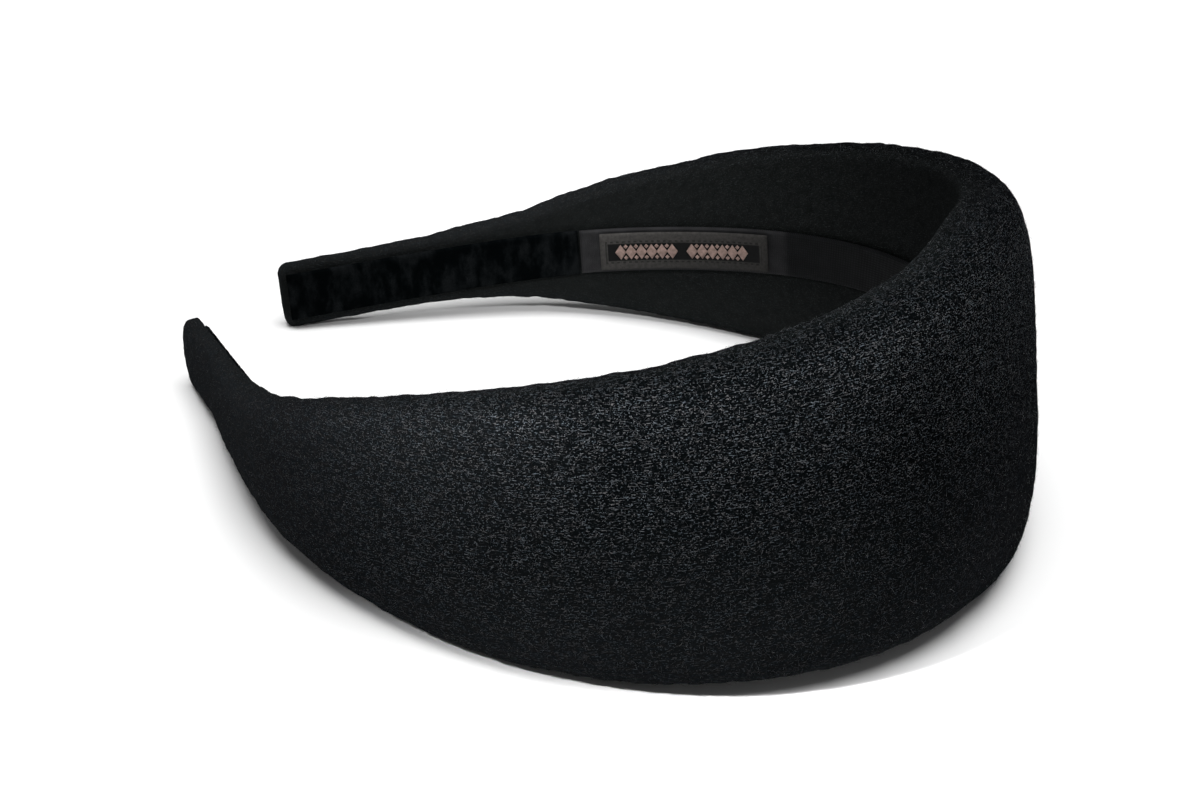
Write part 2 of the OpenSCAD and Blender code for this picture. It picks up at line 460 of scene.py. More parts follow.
def pressed_lift(stations, fine_share):
    """How far a short cloth simulation, with the foam as pressure, moves the cover outwards."""
    soft = cover_stations(SOFT_RING_STEP, SOFT_CORNER_STEPS)
    share = round_share(SOFT_DOME_COUNT, SOFT_INNER_COUNT)
    grid, cloth, normal, _ = cover_grid(soft, share)
    free = off_tabs(soft)[:, None] * on_dome(share)[None, :]
    piece = grid_mesh("cover_before_press", grid * MM, cloth)
    held = piece.vertex_groups.new(name="held")
    for index, loose in enumerate(free[:, :-1].ravel()):
        held.add([index], float(1.0 - loose) ** 2, "REPLACE")
    press = piece.modifiers.new("press", "CLOTH")
    press.settings.quality = 6
    press.settings.mass = 0.02
    press.settings.tension_stiffness = 6.0
    press.settings.compression_stiffness = 6.0
    press.settings.shear_stiffness = 2.0
    press.settings.bending_stiffness = 0.4
    press.settings.air_damping = 2.0
    press.settings.use_pressure = True
    press.settings.uniform_pressure_force = 20.0
    press.settings.vertex_group_mass = "held"
    press.settings.effector_weights.gravity = 0.0
    press.point_cache.frame_start = 1
    press.point_cache.frame_end = PRESS_FRAMES
    for frame_number in range(1, PRESS_FRAMES + 1):
        bpy.context.scene.frame_set(frame_number)
    graph = bpy.context.evaluated_depsgraph_get()
    pressed = piece.evaluated_get(graph).to_mesh()
    spots = np.zeros(len(pressed.vertices) * 3)
    pressed.vertices.foreach_get("co", spots)
    piece.evaluated_get(graph).to_mesh_clear()
    bpy.context.scene.frame_set(1)
    bpy.data.objects.remove(piece)
    ring = spots.reshape(len(soft), -1, 3) / MM
    moved = np.concatenate([ring, ring[:, :1]], 1) - grid
    lift = np.clip(np.sum(moved * normal, -1), -PRESS_CAP, PRESS_CAP)
    by_column = np.array([np.interp(fine_share, share, row) for row in lift])
    return np.array([np.interp(stations, soft, column) for column in by_column.T]).T


def crepe_relief(grid, past_rim, stations):
    """Slow waves of the foam, small bumps of the crepe and a little pucker along the glued rims."""
    loose = fade(past_rim, *LOOSE_PAST_RIM)
    waves = bumps(grid, SLOW_WAVES, 1) + bumps(grid, FINE_WAVES, 3)
    near_rim = np.exp(-((past_rim + PUCKER_BEFORE_RIM) / PUCKER_REACH) ** 2)
    pucker = near_rim * off_tabs(stations)[:, None]
    lift = waves * (GLUED_RELIEF + (1.0 - GLUED_RELIEF) * loose) + pucker * bumps(grid, PUCKERS, 5)
    return np.where(past_rim > FLAT_PAST_RIM, np.minimum(lift, FLAT_RELIEF), lift)


def padded_cover():
    """The cover with its simulated rise and relief, and the surface that the fibres stand on."""
    stations = cover_stations(RING_STEP, CORNER_STEPS)
    share = round_share(DOME_COUNT, INNER_COUNT)
    grid, cloth, normal, past_rim = cover_grid(stations, share)
    lift = pressed_lift(stations, share) + crepe_relief(grid, past_rim, stations)
    moved = placed(grid + normal * lift[..., None])
    moved[..., 2] = np.maximum(moved[..., 2], 0.0)
    piece = grid_mesh("padded_cover", moved, cloth)
    from_crown = np.abs(stations)[:, None]
    up_share = grid[:, :-1, 2] / half_width(from_crown)
    inside = fade(past_rim[:, :-1], *INSIDE_PAST_RIM)
    towards_tip = fade(from_crown, *TOWARDS_TIP)
    towards_crown = fade(from_crown, *TOWARDS_CROWN)
    towards_foot = fade(up_share, *TOWARDS_FOOT)
    facing_up = fade(height(normal, REST_TILT)[:, :-1], *FACING_UP)
    # Painted shade: darker on the lower face, on the upward-facing top and on the lining towards the crown,
    # and cleared towards the tips
    outer_painted_shade = FOOT_SHADE * towards_foot * (1.0 - inside) + TOP_SHADE * facing_up
    outer_painted_shade = outer_painted_shade * (1.0 - TIP_CLEAR * towards_tip)
    add_values(piece, "inside", inside)
    # The dashes are evened out towards the tips, and on the lower half as painted shade: fewer painted
    # glints where less light falls
    add_values(piece, "glints_evened", np.maximum(towards_tip, FOOT_GLINTS_EVENED * fade(up_share, *BELOW_MIDDLE)))
    add_values(piece, "painted_shade", np.maximum(outer_painted_shade, LINING_CROWN_SHADE * towards_crown * inside))
    return piece, moved


# Stray fibres of the cover: lengths in millimetres, turns in radians, columns of the cover's rings

FIBRE_COUNT = 9000
FIBRE_STEPS = (0.0, 0.4, 0.75)
FIBRE_SIDES = 3
FIBRE_COLUMNS = (INNER_COUNT - 4, INNER_COUNT + DOME_COUNT + 4)
FIBRE_SCATTER = 0.25
FIBRE_LOWEST = 1.5
FIBRE_TURN = 0.9
FIBRE_REACH = (0.4, 1.3)
FIBRE_RISE = (0.15, 0.85)
FIBRE_SAG = (0.3, 0.9)
FIBRE_CURL = 0.35
FIBRE_WIDTH = (0.014, 0.024)
FIBRE_TAPER = 0.7
FIBRE_DEPTH = 0.03
PALE_RARITY = 2.4
# Painted shade on the fibres: darker below this height, down to the least share of their paleness
FIBRE_SHADE_HEIGHT = 32.0
FIBRE_SHADE_LEAST = 0.25


def fuzz(name, surface, first_ring, last_ring, seed):
    """Thin curved fibres that stand a little proud of the cover, on its dome and just past the rims,
    from one of its rings to another."""
    draw = np.random.default_rng(seed)
    one_each = (FIBRE_COUNT, 1)
    girth = np.linalg.norm(np.diff(surface, axis=1), axis=-1).sum(1)[first_ring:last_ring]
    ring = first_ring + np.searchsorted(np.cumsum(girth) / girth.sum(), draw.random(FIBRE_COUNT))
    ring = np.clip(ring, 1, len(surface) - 2)
    column = draw.integers(*FIBRE_COLUMNS, FIBRE_COUNT)
    root = surface[ring, column] / MM
    along_band = (surface[ring + 1, column] - surface[ring - 1, column]) / MM
    across_band = (surface[ring, column + 1] - surface[ring, column - 1]) / MM
    root = root + along_band * draw.uniform(-FIBRE_SCATTER, FIBRE_SCATTER, one_each)
    root = root + across_band * draw.uniform(-FIBRE_SCATTER, FIBRE_SCATTER, one_each)
    out = unit(np.cross(across_band, along_band))
    around = surface.shape[1] - 1
    away = root - surface[ring, (column + around // 2) % around] / MM
    out = np.where(np.sum(out * away, -1, keepdims=True) < 0, -out, out)
    keep = root[:, 2] > FIBRE_LOWEST
    lead = unit(along_band)
    side = np.cross(out, lead)
    angle = draw.normal(0.0, FIBRE_TURN, one_each)
    flip = np.where(draw.random(one_each) < 0.5, -1.0, 1.0)
    ahead = flip * (lead * np.cos(angle) + side * np.sin(angle))
    beside = np.cross(out, ahead)
    reach = draw.uniform(*FIBRE_REACH, one_each)
    rise = draw.uniform(*FIBRE_RISE, one_each)
    sag = rise * draw.uniform(*FIBRE_SAG, one_each)
    curl = draw.normal(0.0, FIBRE_CURL, one_each)
    width = draw.uniform(*FIBRE_WIDTH, one_each)

    def centre(step):
        bow = ahead * step + out * (rise * step - sag * step ** 2) + beside * curl * step ** 2
        return root - out * FIBRE_DEPTH + reach * bow

    spots = []
    for step in FIBRE_STEPS:
        for k in range(FIBRE_SIDES):
            turn = 2 * math.pi * k / FIBRE_SIDES
            around_centre = out * math.cos(turn) + beside * math.sin(turn)
            spots.append(centre(step) + width * (1 - FIBRE_TAPER * step) * around_centre)
    spots.append(centre(1.0))
    verts = np.stack(spots, 1)[keep]
    tip = len(FIBRE_STEPS) * FIBRE_SIDES
    pattern = [tuple(range(FIBRE_SIDES))]
    for level in range(len(FIBRE_STEPS) - 1):
        for k in range(FIBRE_SIDES):
            a = level * FIBRE_SIDES + k
            b = level * FIBRE_SIDES + (k + 1) % FIBRE_SIDES
            pattern.append((a, a + FIBRE_SIDES, b + FIBRE_SIDES, b))
    for k in range(FIBRE_SIDES):
        pattern.append((tip - FIBRE_SIDES + k, tip, tip - FIBRE_SIDES + (k + 1) % FIBRE_SIDES))
    faces = []
    for fibre in range(len(verts)):
        base = fibre * (tip + 1)
        faces += [tuple(base + corner for corner in face) for face in pattern]
    mesh = bpy.data.meshes.new(name)
    mesh.from_pydata((verts.reshape(-1, 3) * MM).tolist(), [], faces)
    piece = new_piece(name, mesh)
    tone = draw.random(len(verts)) ** PALE_RARITY
    # Painted shade: fibres lower down are darker
    tone = tone * np.clip(root[keep, 2] / FIBRE_SHADE_HEIGHT, FIBRE_SHADE_LEAST, 1.0)
    add_values(piece, "tone", np.repeat(tone, tip + 1))
    return piece


# Ribbons on the inner face, in millimetres

RIBBON_STEP = 0.7
RIBBON_ACROSS = 25
EDGE_SPOTS = 7
THINNEST_END = 0.35
VELVET_ROUND = 0.6
VELVET_ROUGH = 0.06
# Share of the roughness and size of each of its waves
PILE_WAVES = ((1.0, 0.9), (0.8, 2.6))


def ribbon(name, start, end, width, thickness, over, edge_round=0.5, rough=0.0, seed=0):
    """A flat ribbon with rounded edges on the inner face, from one signed distance to another."""
    count = int(math.ceil((end - start) / RIBBON_STEP))
    stations = np.linspace(start, end, count + 1)
    bend = min(edge_round, thickness / 2)
    half = thickness / 2
    flat = width / 2 - bend
    top_up = np.linspace(-1.0, 1.0, RIBBON_ACROSS) * flat
    corner = np.linspace(0.0, math.pi, EDGE_SPOTS + 2)[1:-1]
    up = np.concatenate([top_up, flat + bend * np.sin(corner), top_up[::-1], -flat - bend * np.sin(corner)])
    out = np.concatenate([
        np.full(RIBBON_ACROSS, -over - thickness),
        -over - half - half * np.cos(corner),
        np.full(RIBBON_ACROSS, -over),
        -over - half + half * np.cos(corner),
    ])
    up = np.append(up, up[0])
    out = np.append(out, out[0])
    rings = []
    cloth = []
    for s in stations:
        inside = min(s - start, end - s)
        squeeze = 1.0
        if inside < bend:
            squeeze = math.sqrt(max(1.0 - ((bend - inside) / bend) ** 2, 0.0))
        level = -over - half + (out + over + half) * max(squeeze, THINNEST_END)
        rings.append(upright(s, level, up))
        cloth.append(np.stack([np.full(len(out), s), up], -1))
    grid = np.array(rings)
    if rough:
        normal = normals_of(grid)
        middle = len(grid) // 2
        face_middle = RIBBON_ACROSS // 2
        back_middle = face_middle + RIBBON_ACROSS + EDGE_SPOTS
        towards_face = grid[middle, face_middle] - grid[middle, back_middle]
        if np.sum(towards_face * normal[middle, face_middle]) < 0:
            normal = -normal
        face = (out < -over - half)[None, :]
        lift = rough * bumps(grid, PILE_WAVES, seed + 1)
        grid = grid + normal * np.where(face, lift, 0.0)[..., None]
    return grid_mesh(name, placed(grid), np.array(cloth))


# Colours, as pairs from dark to pale where a pattern mixes them

KNIT_GROUND = (0.0014, 0.0018, 0.0022, 1.0)
# Pale colour of the knit's dashes: partly paler yarn, partly painted glints
KNIT_GLINT_COOL = (0.122, 0.144, 0.166, 1.0)
KNIT_GLINT_WARM = (0.158, 0.156, 0.160, 1.0)
# The near black that painted shade darkens the cover towards
KNIT_SHADE_COLOUR = (0.0007, 0.0009, 0.0010, 1.0)
LINING = ((0.0060, 0.0071, 0.0068, 1.0), (0.0158, 0.0174, 0.0168, 1.0))
VELVET_PILE = ((0.0010, 0.0015, 0.0017, 1.0), (0.0088, 0.0100, 0.0108, 1.0))
TAPE_SATIN = ((0.0026, 0.0030, 0.0033, 1.0), (0.0062, 0.0068, 0.0074, 1.0))
TAPE_FIELD = ((0.0112, 0.0113, 0.0120, 1.0), (0.0305, 0.0303, 0.0321, 1.0))
LABEL_CLOTH = ((0.0060, 0.0063, 0.0063, 1.0), (0.0610, 0.0582, 0.0552, 1.0))
PINK_YARN = ((0.120, 0.085, 0.074, 1.0), (0.335, 0.236, 0.206, 1.0))
# Fibres from dark to pale; the pale ones stand partly for painted glints
FIBRES = ((0.004, 0.005, 0.006, 1.0), (0.055, 0.058, 0.064, 1.0))
FLOOR = ((0.90, 0.90, 0.90, 1.0), (0.94, 0.94, 0.94, 1.0))

# Pitches and places of the weaves, in millimetres
TAPE_RIB_PITCH = 0.42
TAPE_WARP_PITCH = 0.5
SELVEDGE = (3.9, 4.3)
FIELD_END = LABEL_FROM + LABEL_LENGTH + 4.8
FIELD_FADE = 2.0
LABEL_RIB_PITCH = 0.34
LABEL_WARP_PITCH = 0.3
DASH_PITCH = 1.25
STRAND_PITCH = 0.22

# How far noise sways the knit's rows, in millimetres, broadly and closely
BROAD_SWAY = (2.0, 0.9, 0.0)
CLOSE_SWAY = (0.4, 0.16, 0.0)
HALF = (0.5, 0.5, 0.5)
# The share of a thread's reach over which it is at its full height
THREAD_CORE = 0.35
# Where the knit's dashes are evened out, towards the tips and, as painted shade with fewer painted glints,
# on the lower half: how even they are, and at which tone
GLINTS_EVEN_SHARE = 0.7
GLINTS_EVEN_TONE = 0.095
# How much of the cover's inner face looks like the lining
LINING_SHARE = 0.85


# Materials

def material(name):
    """A new material and its shader."""
    made = bpy.data.materials.new(name)
    made.use_nodes = True
    nodes = made.node_tree.nodes
    nodes.clear()
    output = nodes.new("ShaderNodeOutputMaterial")
    shader = nodes.new("ShaderNodeBsdfPrincipled")
    made.node_tree.links.new(shader.outputs[0], output.inputs["Surface"])
    return made, shader


class Nodes:
    """Short names for the nodes that the materials share."""

    def __init__(self, made):
        self.nodes = made.node_tree.nodes
        self.links = made.node_tree.links

    def put(self, socket, value):
        """Links or sets a socket."""
        if isinstance(value, bpy.types.NodeSocket):
            self.links.new(value, socket)
        elif value is not None:
            socket.default_value = value

    def cloth(self):
        """The place on the cloth, in millimetres."""
        node = self.nodes.new("ShaderNodeUVMap")
        node.uv_map = "cloth"
        return self.vector("MULTIPLY", node.outputs[0], (MAP_UNIT, MAP_UNIT, 0.0))

    def vector(self, operation, a, b=None):
        node = self.nodes.new("ShaderNodeVectorMath")
        node.operation = operation
        self.put(node.inputs[0], a)
        self.put(node.inputs[1], b)
        return node.outputs[0]

    def math(self, operation, a, b=None, clamp=False):
        node = self.nodes.new("ShaderNodeMath")
        node.operation = operation
        node.use_clamp = clamp
        self.put(node.inputs[0], a)
        self.put(node.inputs[1], b)
        return node.outputs[0]

    def waves(self, value, pitch):
        """From -1 to 1 and back over each pitch."""
        return self.math("SINE", self.math("MULTIPLY", value, 2 * math.pi / pitch))

    def attribute(self, name):
        node = self.nodes.new("ShaderNodeAttribute")
        node.attribute_name = name
        return node.outputs["Fac"]

    def parts(self, a):
        node = self.nodes.new("ShaderNodeSeparateXYZ")
        self.put(node.inputs[0], a)
        return node.outputs[0], node.outputs[1]

    def noise(self, at, scale, detail, rough=0.5):
        """A noise's value and its colour."""
        node = self.nodes.new("ShaderNodeTexNoise")
        self.put(node.inputs["Vector"], at)
        node.inputs["Scale"].default_value = scale
        node.inputs["Detail"].default_value = detail
        node.inputs["Roughness"].default_value = rough
        return node.outputs["Fac"], node.outputs["Color"]

    def dashes(self, at, cell, reach, turn, spread, shift=0.0):
        """Short threads scattered one to a cell, each turned a little: their shape, a chance and a hue."""
        scaled = self.vector("ADD", self.vector("DIVIDE", at, (*cell, 1.0)), (shift, shift, 0.0))
        node = self.nodes.new("ShaderNodeTexVoronoi")
        node.voronoi_dimensions = "2D"
        self.put(node.inputs["Vector"], scaled)
        node.inputs["Scale"].default_value = 1.0
        node.inputs["Randomness"].default_value = spread
        from_thread = self.vector("SUBTRACT", scaled, node.outputs["Position"])
        away = self.vector("MULTIPLY", from_thread, (*cell, 0.0))
        split = self.nodes.new("ShaderNodeSeparateColor")
        self.put(split.inputs[0], node.outputs["Color"])
        spin = self.nodes.new("ShaderNodeVectorRotate")
        spin.rotation_type = "Z_AXIS"
        self.put(spin.inputs["Vector"], away)
        self.put(spin.inputs["Angle"], self.ramp(split.outputs[0], 0.0, 1.0, -turn, turn, smooth=False))
        size = self.nodes.new("ShaderNodeVectorMath")
        size.operation = "LENGTH"
        self.put(size.inputs[0], self.vector("DIVIDE", spin.outputs[0], (*reach, 1.0)))
        shape = self.ramp(size.outputs["Value"], THREAD_CORE, 1.0, 1.0, 0.0)
        return shape, split.outputs[1], split.outputs[2]

    def ramp(self, value, low, high, to_low=0.0, to_high=1.0, smooth=True):
        """to_low where the value is low or less, to_high where it is high or more."""
        node = self.nodes.new("ShaderNodeMapRange")
        node.interpolation_type = "SMOOTHSTEP" if smooth else "LINEAR"
        self.put(node.inputs["Value"], value)
        node.inputs["From Min"].default_value = low
        node.inputs["From Max"].default_value = high
        node.inputs["To Min"].default_value = to_low
        node.inputs["To Max"].default_value = to_high
        return node.outputs["Result"]

    def mix(self, factor, a, b):
        """The first colour where the factor is 0, the second where it is 1."""
        node = self.nodes.new("ShaderNodeMix")
        node.data_type = "RGBA"
        self.put(node.inputs[0], factor)
        self.put(node.inputs[6], a)
        self.put(node.inputs[7], b)
        return node.outputs[2]

    def bump(self, height_value, distance, strength):
        """A bump of the given distance, in metres."""
        node = self.nodes.new("ShaderNodeBump")
        node.inputs["Strength"].default_value = strength
        node.inputs["Distance"].default_value = distance
        self.put(node.inputs["Height"], height_value)
        return node.outputs[0]


def knit_material():
    """Black crepe knit: dashes of thread in fine wavy rows along the band, crossed by finer ones. The
    dashes' pale colour is partly paler yarn and partly painted glints, and painted shade darkens the cover
    in places.
    """
    made, shader = material("black_knit")
    n = Nodes(made)
    place = n.cloth()
    inside = n.attribute("inside")
    broad = n.vector("SUBTRACT", n.noise(place, scale=0.22, detail=2.0)[1], HALF)
    close = n.vector("SUBTRACT", n.noise(place, scale=1.1, detail=2.0)[1], HALF)
    wavy = n.vector("ADD", place, n.vector("MULTIPLY", broad, BROAD_SWAY))
    wavy = n.vector("ADD", wavy, n.vector("MULTIPLY", close, CLOSE_SWAY))
    rows = n.dashes(wavy, cell=(0.74, 0.44), reach=(0.44, 0.08), turn=0.3, spread=0.75)
    legs = n.dashes(wavy, cell=(0.36, 0.29), reach=(0.22, 0.06), turn=0.6, spread=0.9, shift=3.7)
    hairs = n.dashes(place, cell=(0.25, 0.22), reach=(0.13, 0.055), turn=1.5, spread=1.0, shift=9.1)
    lit = 0.0
    level = 0.0
    # For each kind of thread, how rare its pale ones are (paler yarn and painted glints), their share of
    # the pale colour and their height
    for threads, rarity, share, high in (
        (rows, 4.4, 0.68, 1.0),
        (legs, 6.0, 0.97, 0.6),
        (hairs, 8.0, 1.8, 0.25),
    ):
        shape, chance = threads[:2]
        glow = n.math("MULTIPLY", shape, n.math("POWER", chance, rarity))
        lit = n.math("ADD", n.math("MULTIPLY", glow, share), lit)
        level = n.math("ADD", n.math("MULTIPLY", shape, high), level)
    patches = n.noise(place, scale=0.13, detail=3.0, rough=0.6)[0]
    lit = n.math("MULTIPLY", lit, n.ramp(patches, 0.28, 0.72, 0.9, 1.1, smooth=False), clamp=True)
    # Evens the dashes out towards the tips, and on the lower half as painted shade
    calm = n.math("MULTIPLY", n.attribute("glints_evened"), GLINTS_EVEN_SHARE)
    lit = n.math("ADD", lit, n.math("MULTIPLY", calm, n.math("SUBTRACT", GLINTS_EVEN_TONE, lit)))
    hue = rows[2]
    outer = n.mix(lit, KNIT_GROUND, n.mix(hue, KNIT_GLINT_COOL, KNIT_GLINT_WARM))
    crepe = n.math("MULTIPLY", n.noise(place, scale=0.5, detail=4.0, rough=0.6)[0], 0.8)
    mottle = n.math("ADD", crepe, n.math("MULTIPLY", lit, 0.9))
    lining = n.mix(n.ramp(mottle, 0.2, 1.0, smooth=False), *LINING)
    cloth = n.mix(n.math("MULTIPLY", inside, LINING_SHARE), outer, lining)
    # Painted shade darkens the cloth towards a near black where the cover's value says
    n.put(shader.inputs["Base Color"], n.mix(n.attribute("painted_shade"), cloth, KNIT_SHADE_COLOUR))
    n.put(shader.inputs["Roughness"], n.ramp(patches, 0.3, 0.7, 0.75, 0.95, smooth=False))
    shader.inputs["Specular IOR Level"].default_value = 0.0
    n.put(shader.inputs["Normal"], n.bump(level, distance=0.00010, strength=0.7))
    return made


def velvet_material():
    """Deep black velvet with brushed patches in its pile."""
    made, shader = material("black_velvet")
    n = Nodes(made)
    place = n.cloth()
    stretched = n.vector("MULTIPLY", place, (0.30, 0.14, 0.0))
    brushed = n.noise(stretched, scale=1.0, detail=3.0, rough=0.6)[0]
    shrunk = n.vector("MULTIPLY", place, (5.0, 5.0, 0.0))
    pile = n.noise(shrunk, scale=1.0, detail=2.0, rough=0.6)[0]
    share = n.math("MULTIPLY", n.ramp(brushed, 0.40, 0.70), n.ramp(pile, 0.3, 0.7, 0.35, 1.0))
    n.put(shader.inputs["Base Color"], n.mix(share, *VELVET_PILE))
    n.put(shader.inputs["Roughness"], n.ramp(brushed, 0.3, 0.7, 0.95, 0.8, smooth=False))
    shader.inputs["Specular IOR Level"].default_value = 0.0
    n.put(shader.inputs["Normal"], n.bump(pile, distance=0.0002, strength=0.8))
    return made


def tape_material():
    """Dark satin-woven tape: fine ribs across it, a paler field at the label that darkens towards the crown
    as painted shade, a selvedge at each edge.
    """
    made, shader = material("woven_tape")
    n = Nodes(made)
    place = n.cloth()
    x, y = n.parts(place)
    ribs = n.waves(x, TAPE_RIB_PITCH)
    warps = n.waves(y, TAPE_WARP_PITCH)
    crossed = n.math("MULTIPLY", n.math("MULTIPLY", ribs, warps), 0.5)
    weave = n.math("ADD", n.math("MULTIPLY", ribs, 0.5), crossed)
    worn = n.noise(place, scale=0.3, detail=3.0, rough=0.55)[0]
    edge = n.ramp(n.math("ABSOLUTE", y), *SELVEDGE)
    field = n.ramp(x, FIELD_END - FIELD_FADE, FIELD_END, 1.0, 0.0)
    # Painted shade: the pale field darkens towards the crown
    field = n.math("MULTIPLY", field, n.ramp(x, LABEL_FROM, FIELD_END, 1.0, 0.55, smooth=False))
    share = n.math("ADD", n.ramp(worn, 0.3, 0.7, 0.1, 0.5), n.math("MULTIPLY", edge, 0.3))
    share = n.math("ADD", share, n.math("MULTIPLY", weave, 0.12), clamp=True)
    dark = n.mix(share, *TAPE_SATIN)
    pale = n.mix(share, *TAPE_FIELD)
    n.put(shader.inputs["Base Color"], n.mix(field, dark, pale))
    shader.inputs["Roughness"].default_value = 0.6
    shader.inputs["Specular IOR Level"].default_value = 0.05
    n.put(shader.inputs["Normal"], n.bump(weave, distance=0.00006, strength=0.8))
    return made


def label_material():
    """Fine damask label: a warm grey border, edged with a dashed line, around a dark window, with painted
    shade that darkens the border towards its lower edge and its end nearer the crown.
    """
    made, shader = material("label_weave")
    n = Nodes(made)
    place = n.cloth()
    x, y = n.parts(place)
    from_middle = n.math("ABSOLUTE", n.math("SUBTRACT", x, LABEL_MIDDLE))
    from_line = n.math("ABSOLUTE", n.math("ADD", y, -MOTIF_RISE))
    past_end = n.math("SUBTRACT", from_middle, WINDOW_REACH)
    past_window = n.math("MAXIMUM", past_end, n.math("SUBTRACT", from_line, WINDOW_HALF))
    border = n.ramp(past_window, -0.1, 0.15)
    line = n.math("MULTIPLY", n.ramp(past_window, 0.15, 0.27), n.ramp(past_window, 0.5, 0.62, 1.0, 0.0))
    dashed = n.math("MULTIPLY", line, n.ramp(n.waves(x, DASH_PITCH), -0.2, 0.2))
    weave = n.math("MULTIPLY", n.waves(x, LABEL_RIB_PITCH), n.waves(y, LABEL_WARP_PITCH))
    uneven = n.noise(place, scale=1.4, detail=3.0, rough=0.6)[0]
    # Painted shade: the border darkens towards the label's lower edge and towards its end nearer the crown
    high = n.ramp(y, -LABEL_WIDTH / 2, LABEL_WIDTH / 2, 0.7, 1.0, smooth=False)
    worn = n.math("ADD", n.ramp(uneven, 0.25, 0.75, 0.5, 0.95), n.math("MULTIPLY", weave, 0.15), clamp=True)
    crown_end_shade = n.ramp(x, LABEL_FROM, LABEL_FROM + LABEL_LENGTH, 1.0, 0.5, smooth=False)
    share = n.math("MULTIPLY", n.math("MULTIPLY", border, worn), n.math("MULTIPLY", high, crown_end_shade))
    share = n.math("MULTIPLY", share, n.math("SUBTRACT", 1.0, n.math("MULTIPLY", dashed, 0.6)))
    n.put(shader.inputs["Base Color"], n.mix(share, *LABEL_CLOTH))
    shader.inputs["Roughness"].default_value = 0.8
    shader.inputs["Specular IOR Level"].default_value = 0.05
    n.put(shader.inputs["Normal"], n.bump(weave, distance=0.00005, strength=0.7))
    return made


def pink_thread():
    """Dusty pink thread in upright strands, worn unevenly."""
    made, shader = material("pink_thread")
    n = Nodes(made)
    place = n.cloth()
    strands = n.waves(n.parts(place)[0], STRAND_PITCH)
    worn = n.noise(place, scale=1.2, detail=2.0, rough=0.6)[0]
    share = n.math("ADD", n.ramp(worn, 0.25, 0.75, 0.2, 0.8), n.math("MULTIPLY", strands, 0.2), clamp=True)
    n.put(shader.inputs["Base Color"], n.mix(share, *PINK_YARN))
    shader.inputs["Roughness"].default_value = 0.6
    shader.inputs["Specular IOR Level"].default_value = 0.1
    n.put(shader.inputs["Normal"], n.bump(strands, distance=0.00005, strength=0.7))
    return made


def fuzz_material():
    """Stray fibres, each a little paler or darker than the next, the pale ones partly painted glints, and
    darker towards the floor as painted shade.
    """
    made, shader = material("loose_fibres")
    n = Nodes(made)
    n.put(shader.inputs["Base Color"], n.mix(n.attribute("tone"), *FIBRES))
    shader.inputs["Roughness"].default_value = 0.4
    shader.inputs["Specular IOR Level"].default_value = 0.25
    return made


def floor_material():
    """A pale, almost even floor."""
    made, shader = material("pale_floor")
    n = Nodes(made)
    where = n.nodes.new("ShaderNodeTexCoord").outputs["Object"]
    fleck = n.noise(where, scale=9.0, detail=3.0)[0]
    n.put(shader.inputs["Base Color"], n.mix(fleck, *FLOOR))
    shader.inputs["Roughness"].default_value = 0.9
    shader.inputs["Specular IOR Level"].default_value = 0.0
    return made


KNIT = knit_material()
VELVET = velvet_material()
TAPE = tape_material()
LABEL = label_material()
PINK = pink_thread()
FUZZ = fuzz_material()


# The woven motif: two groups of small lozenges in a row, with smaller ones in the notches between them

LOZENGE_TIPS = ((1, 0), (0, 1), (-1, 0), (0, -1), (1, 0))
SPOTS_TO_TIP = 9
# Each level's share of the lozenge's size, and its height above the label
LOZENGE_LEVELS = ((1.0, -0.05), (0.94, 0.10), (0.72, 0.19), (0.0, 0.22))


def motif_places():
    """Each lozenge's place along the label, its height on it, and its two half sizes."""
    places = []
    for side in (-1, 1):
        for k in range(MOTIF_GROUP):
            at = MOTIF_MIDDLE + side * MOTIF_GROUP_AWAY + MOTIF_PITCH * (k - (MOTIF_GROUP - 1) / 2)
            places.append((at, MOTIF_RISE, MOTIF_HALF_LENGTH, MOTIF_HALF_HEIGHT))
            if k < MOTIF_GROUP - 1:
                for up in (-1, 1):
                    rise = MOTIF_RISE + NOTCH_AWAY * up
                    places.append((at + MOTIF_PITCH / 2, rise, NOTCH_HALF_LENGTH, NOTCH_HALF_HEIGHT))
    return places


def lozenges():
    """All lozenges as one piece, each a low closed mound on the label."""
    over = LABEL_OVER + LABEL_THICKNESS
    ring = 4 * SPOTS_TO_TIP
    verts = []
    faces = []
    for at, high, half_length, half_height in motif_places():
        base = len(verts)
        for grow, rise in LOZENGE_LEVELS:
            for k in range(ring if grow else 1):
                side, step = divmod(k, SPOTS_TO_TIP)
                t = step / SPOTS_TO_TIP
                x = LOZENGE_TIPS[side][0] * (1 - t) + LOZENGE_TIPS[side + 1][0] * t
                y = LOZENGE_TIPS[side][1] * (1 - t) + LOZENGE_TIPS[side + 1][1] * t
                verts.append((at + half_length * grow * x, -over - rise, high + half_height * grow * y))
        for level in range(2):
            for k in range(ring):
                a = base + level * ring + k
                b = base + level * ring + (k + 1) % ring
                faces.append((a, b, b + ring, a + ring))
        tip = base + 3 * ring
        for k in range(ring):
            faces.append((base + 2 * ring + k, base + 2 * ring + (k + 1) % ring, tip))
        faces.append(tuple(base + k for k in range(ring))[::-1])
    v = np.array(verts)
    mesh = bpy.data.meshes.new("label_motif")
    mesh.from_pydata(placed(upright(v[:, 0], v[:, 1], v[:, 2])).tolist(), [], faces)
    map_cloth(mesh, v[[corner for face in faces for corner in face]][:, [0, 2]])
    return new_piece("label_motif", mesh)


# The pieces

cover, cover_surface = padded_cover()
cover.data.materials.append(KNIT)
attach(cover, "root")
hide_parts("padded_band")

middle_ring = len(cover_surface) // 2
for name, first, last, seed in (
    ("fuzz_left", 1, middle_ring, 31),
    ("fuzz_right", middle_ring, len(cover_surface) - 2, 32),
):
    fibres = fuzz(name, cover_surface, first, last, seed)
    fibres.data.materials.append(FUZZ)
    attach(fibres, "root")

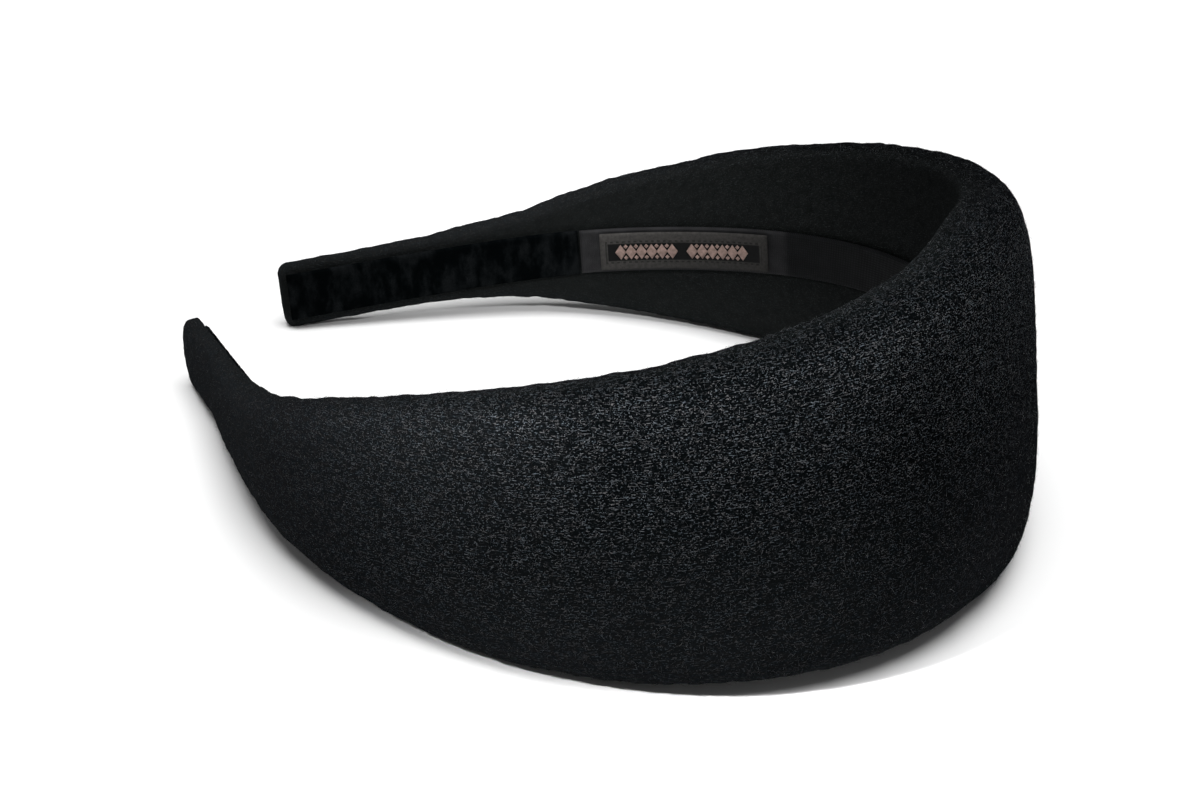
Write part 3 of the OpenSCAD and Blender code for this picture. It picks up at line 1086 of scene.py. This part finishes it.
velvet_right = ribbon("velvet_right", VELVET_START, VELVET_START + VELVET_LENGTH, VELVET_WIDTH,
                      VELVET_THICKNESS, GLUE_GAP, edge_round=VELVET_ROUND, rough=VELVET_ROUGH, seed=11)
velvet_left = ribbon("velvet_left", -VELVET_START - VELVET_LENGTH, -VELVET_START, VELVET_WIDTH,
                     VELVET_THICKNESS, GLUE_GAP, edge_round=VELVET_ROUND, rough=VELVET_ROUGH, seed=21)
for piece, node in ((velvet_right, "velvet_ribbon_right"), (velvet_left, "velvet_ribbon_left")):
    piece.data.materials.append(VELVET)
    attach(piece, "root")
    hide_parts(node)

tape = ribbon("tape", -TAPE_REACH, TAPE_REACH, TAPE_WIDTH, TAPE_THICKNESS, GLUE_GAP)
tape.data.materials.append(TAPE)
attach(tape, "root")
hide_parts("centre_tape")

label = ribbon("label", LABEL_FROM, LABEL_FROM + LABEL_LENGTH, LABEL_WIDTH, LABEL_THICKNESS, LABEL_OVER)
label.data.materials.append(LABEL)
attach(label, "root")
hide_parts("woven_label")

motif = lozenges()
motif.data.materials.append(PINK)
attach(motif, "root")


# The floor, the light and the camera

bpy.ops.mesh.primitive_plane_add(size=6.0, location=(0, 0, 0))
floor = bpy.context.object
floor.name = "floor"
floor.data.materials.append(floor_material())

world = bpy.data.worlds.new("studio")
bpy.context.scene.world = world
world.use_nodes = True
background = world.node_tree.nodes["Background"]
background.inputs["Color"].default_value = (1.0, 1.0, 1.0, 1.0)
background.inputs["Strength"].default_value = 0.15


def lamp_from(name, data, aim, elevation, azimuth, distance):
    """A lamp that looks at a point from the given side."""
    up = math.radians(elevation)
    side = math.radians(azimuth)
    lamp = bpy.data.objects.new(name, data)
    lamp.location = (
        aim[0] + distance * math.cos(up) * math.cos(side),
        aim[1] + distance * math.cos(up) * math.sin(side),
        aim[2] + distance * math.sin(up),
    )
    lamp.rotation_euler = (math.pi / 2 - up, 0.0, side + math.pi / 2)
    bpy.context.scene.collection.objects.link(lamp)


def soft_sun(name, strength, width, elevation, azimuth):
    """An even, very soft light, as from a large diffuser."""
    data = bpy.data.lights.new(name, "SUN")
    data.energy = strength
    data.angle = math.radians(width)
    lamp_from(name, data, (0.0, 0.0, 0.0), elevation, azimuth, distance=1.0)


def soft_spot(name, watts, width, aim, elevation, azimuth):
    """A soft round spot on one place of the band."""
    data = bpy.data.lights.new(name, "SPOT")
    data.energy = watts
    data.spot_size = math.radians(width)
    data.spot_blend = 1.0
    data.shadow_soft_size = 0.05
    lamp_from(name, data, aim, elevation, azimuth, distance=0.6)


# From above, on the outer face of the near arm, and over that arm on the far arm's inner face
soft_sun("overhead", strength=3.3, width=45, elevation=84, azimuth=8)
soft_spot("key", watts=128.0, width=7.2, aim=(0.062, 0.039, 0.052), elevation=40, azimuth=-40)
soft_spot("fill", watts=14.0, width=12.5, aim=(-0.062, -0.032, 0.032), elevation=40, azimuth=10)

camera_data = bpy.data.cameras.new("camera")
camera_data.lens = CAMERA_LENS
camera_data.sensor_width = SENSOR_WIDTH
camera_data.clip_start = 0.01
camera = bpy.data.objects.new("camera", camera_data)
camera.location = CAMERA_PLACE
camera.rotation_euler = tuple(math.radians(a) for a in CAMERA_TURN)
bpy.context.scene.collection.objects.link(camera)
bpy.context.scene.camera = camera
bpy.context.scene.view_settings.view_transform = "Standard"
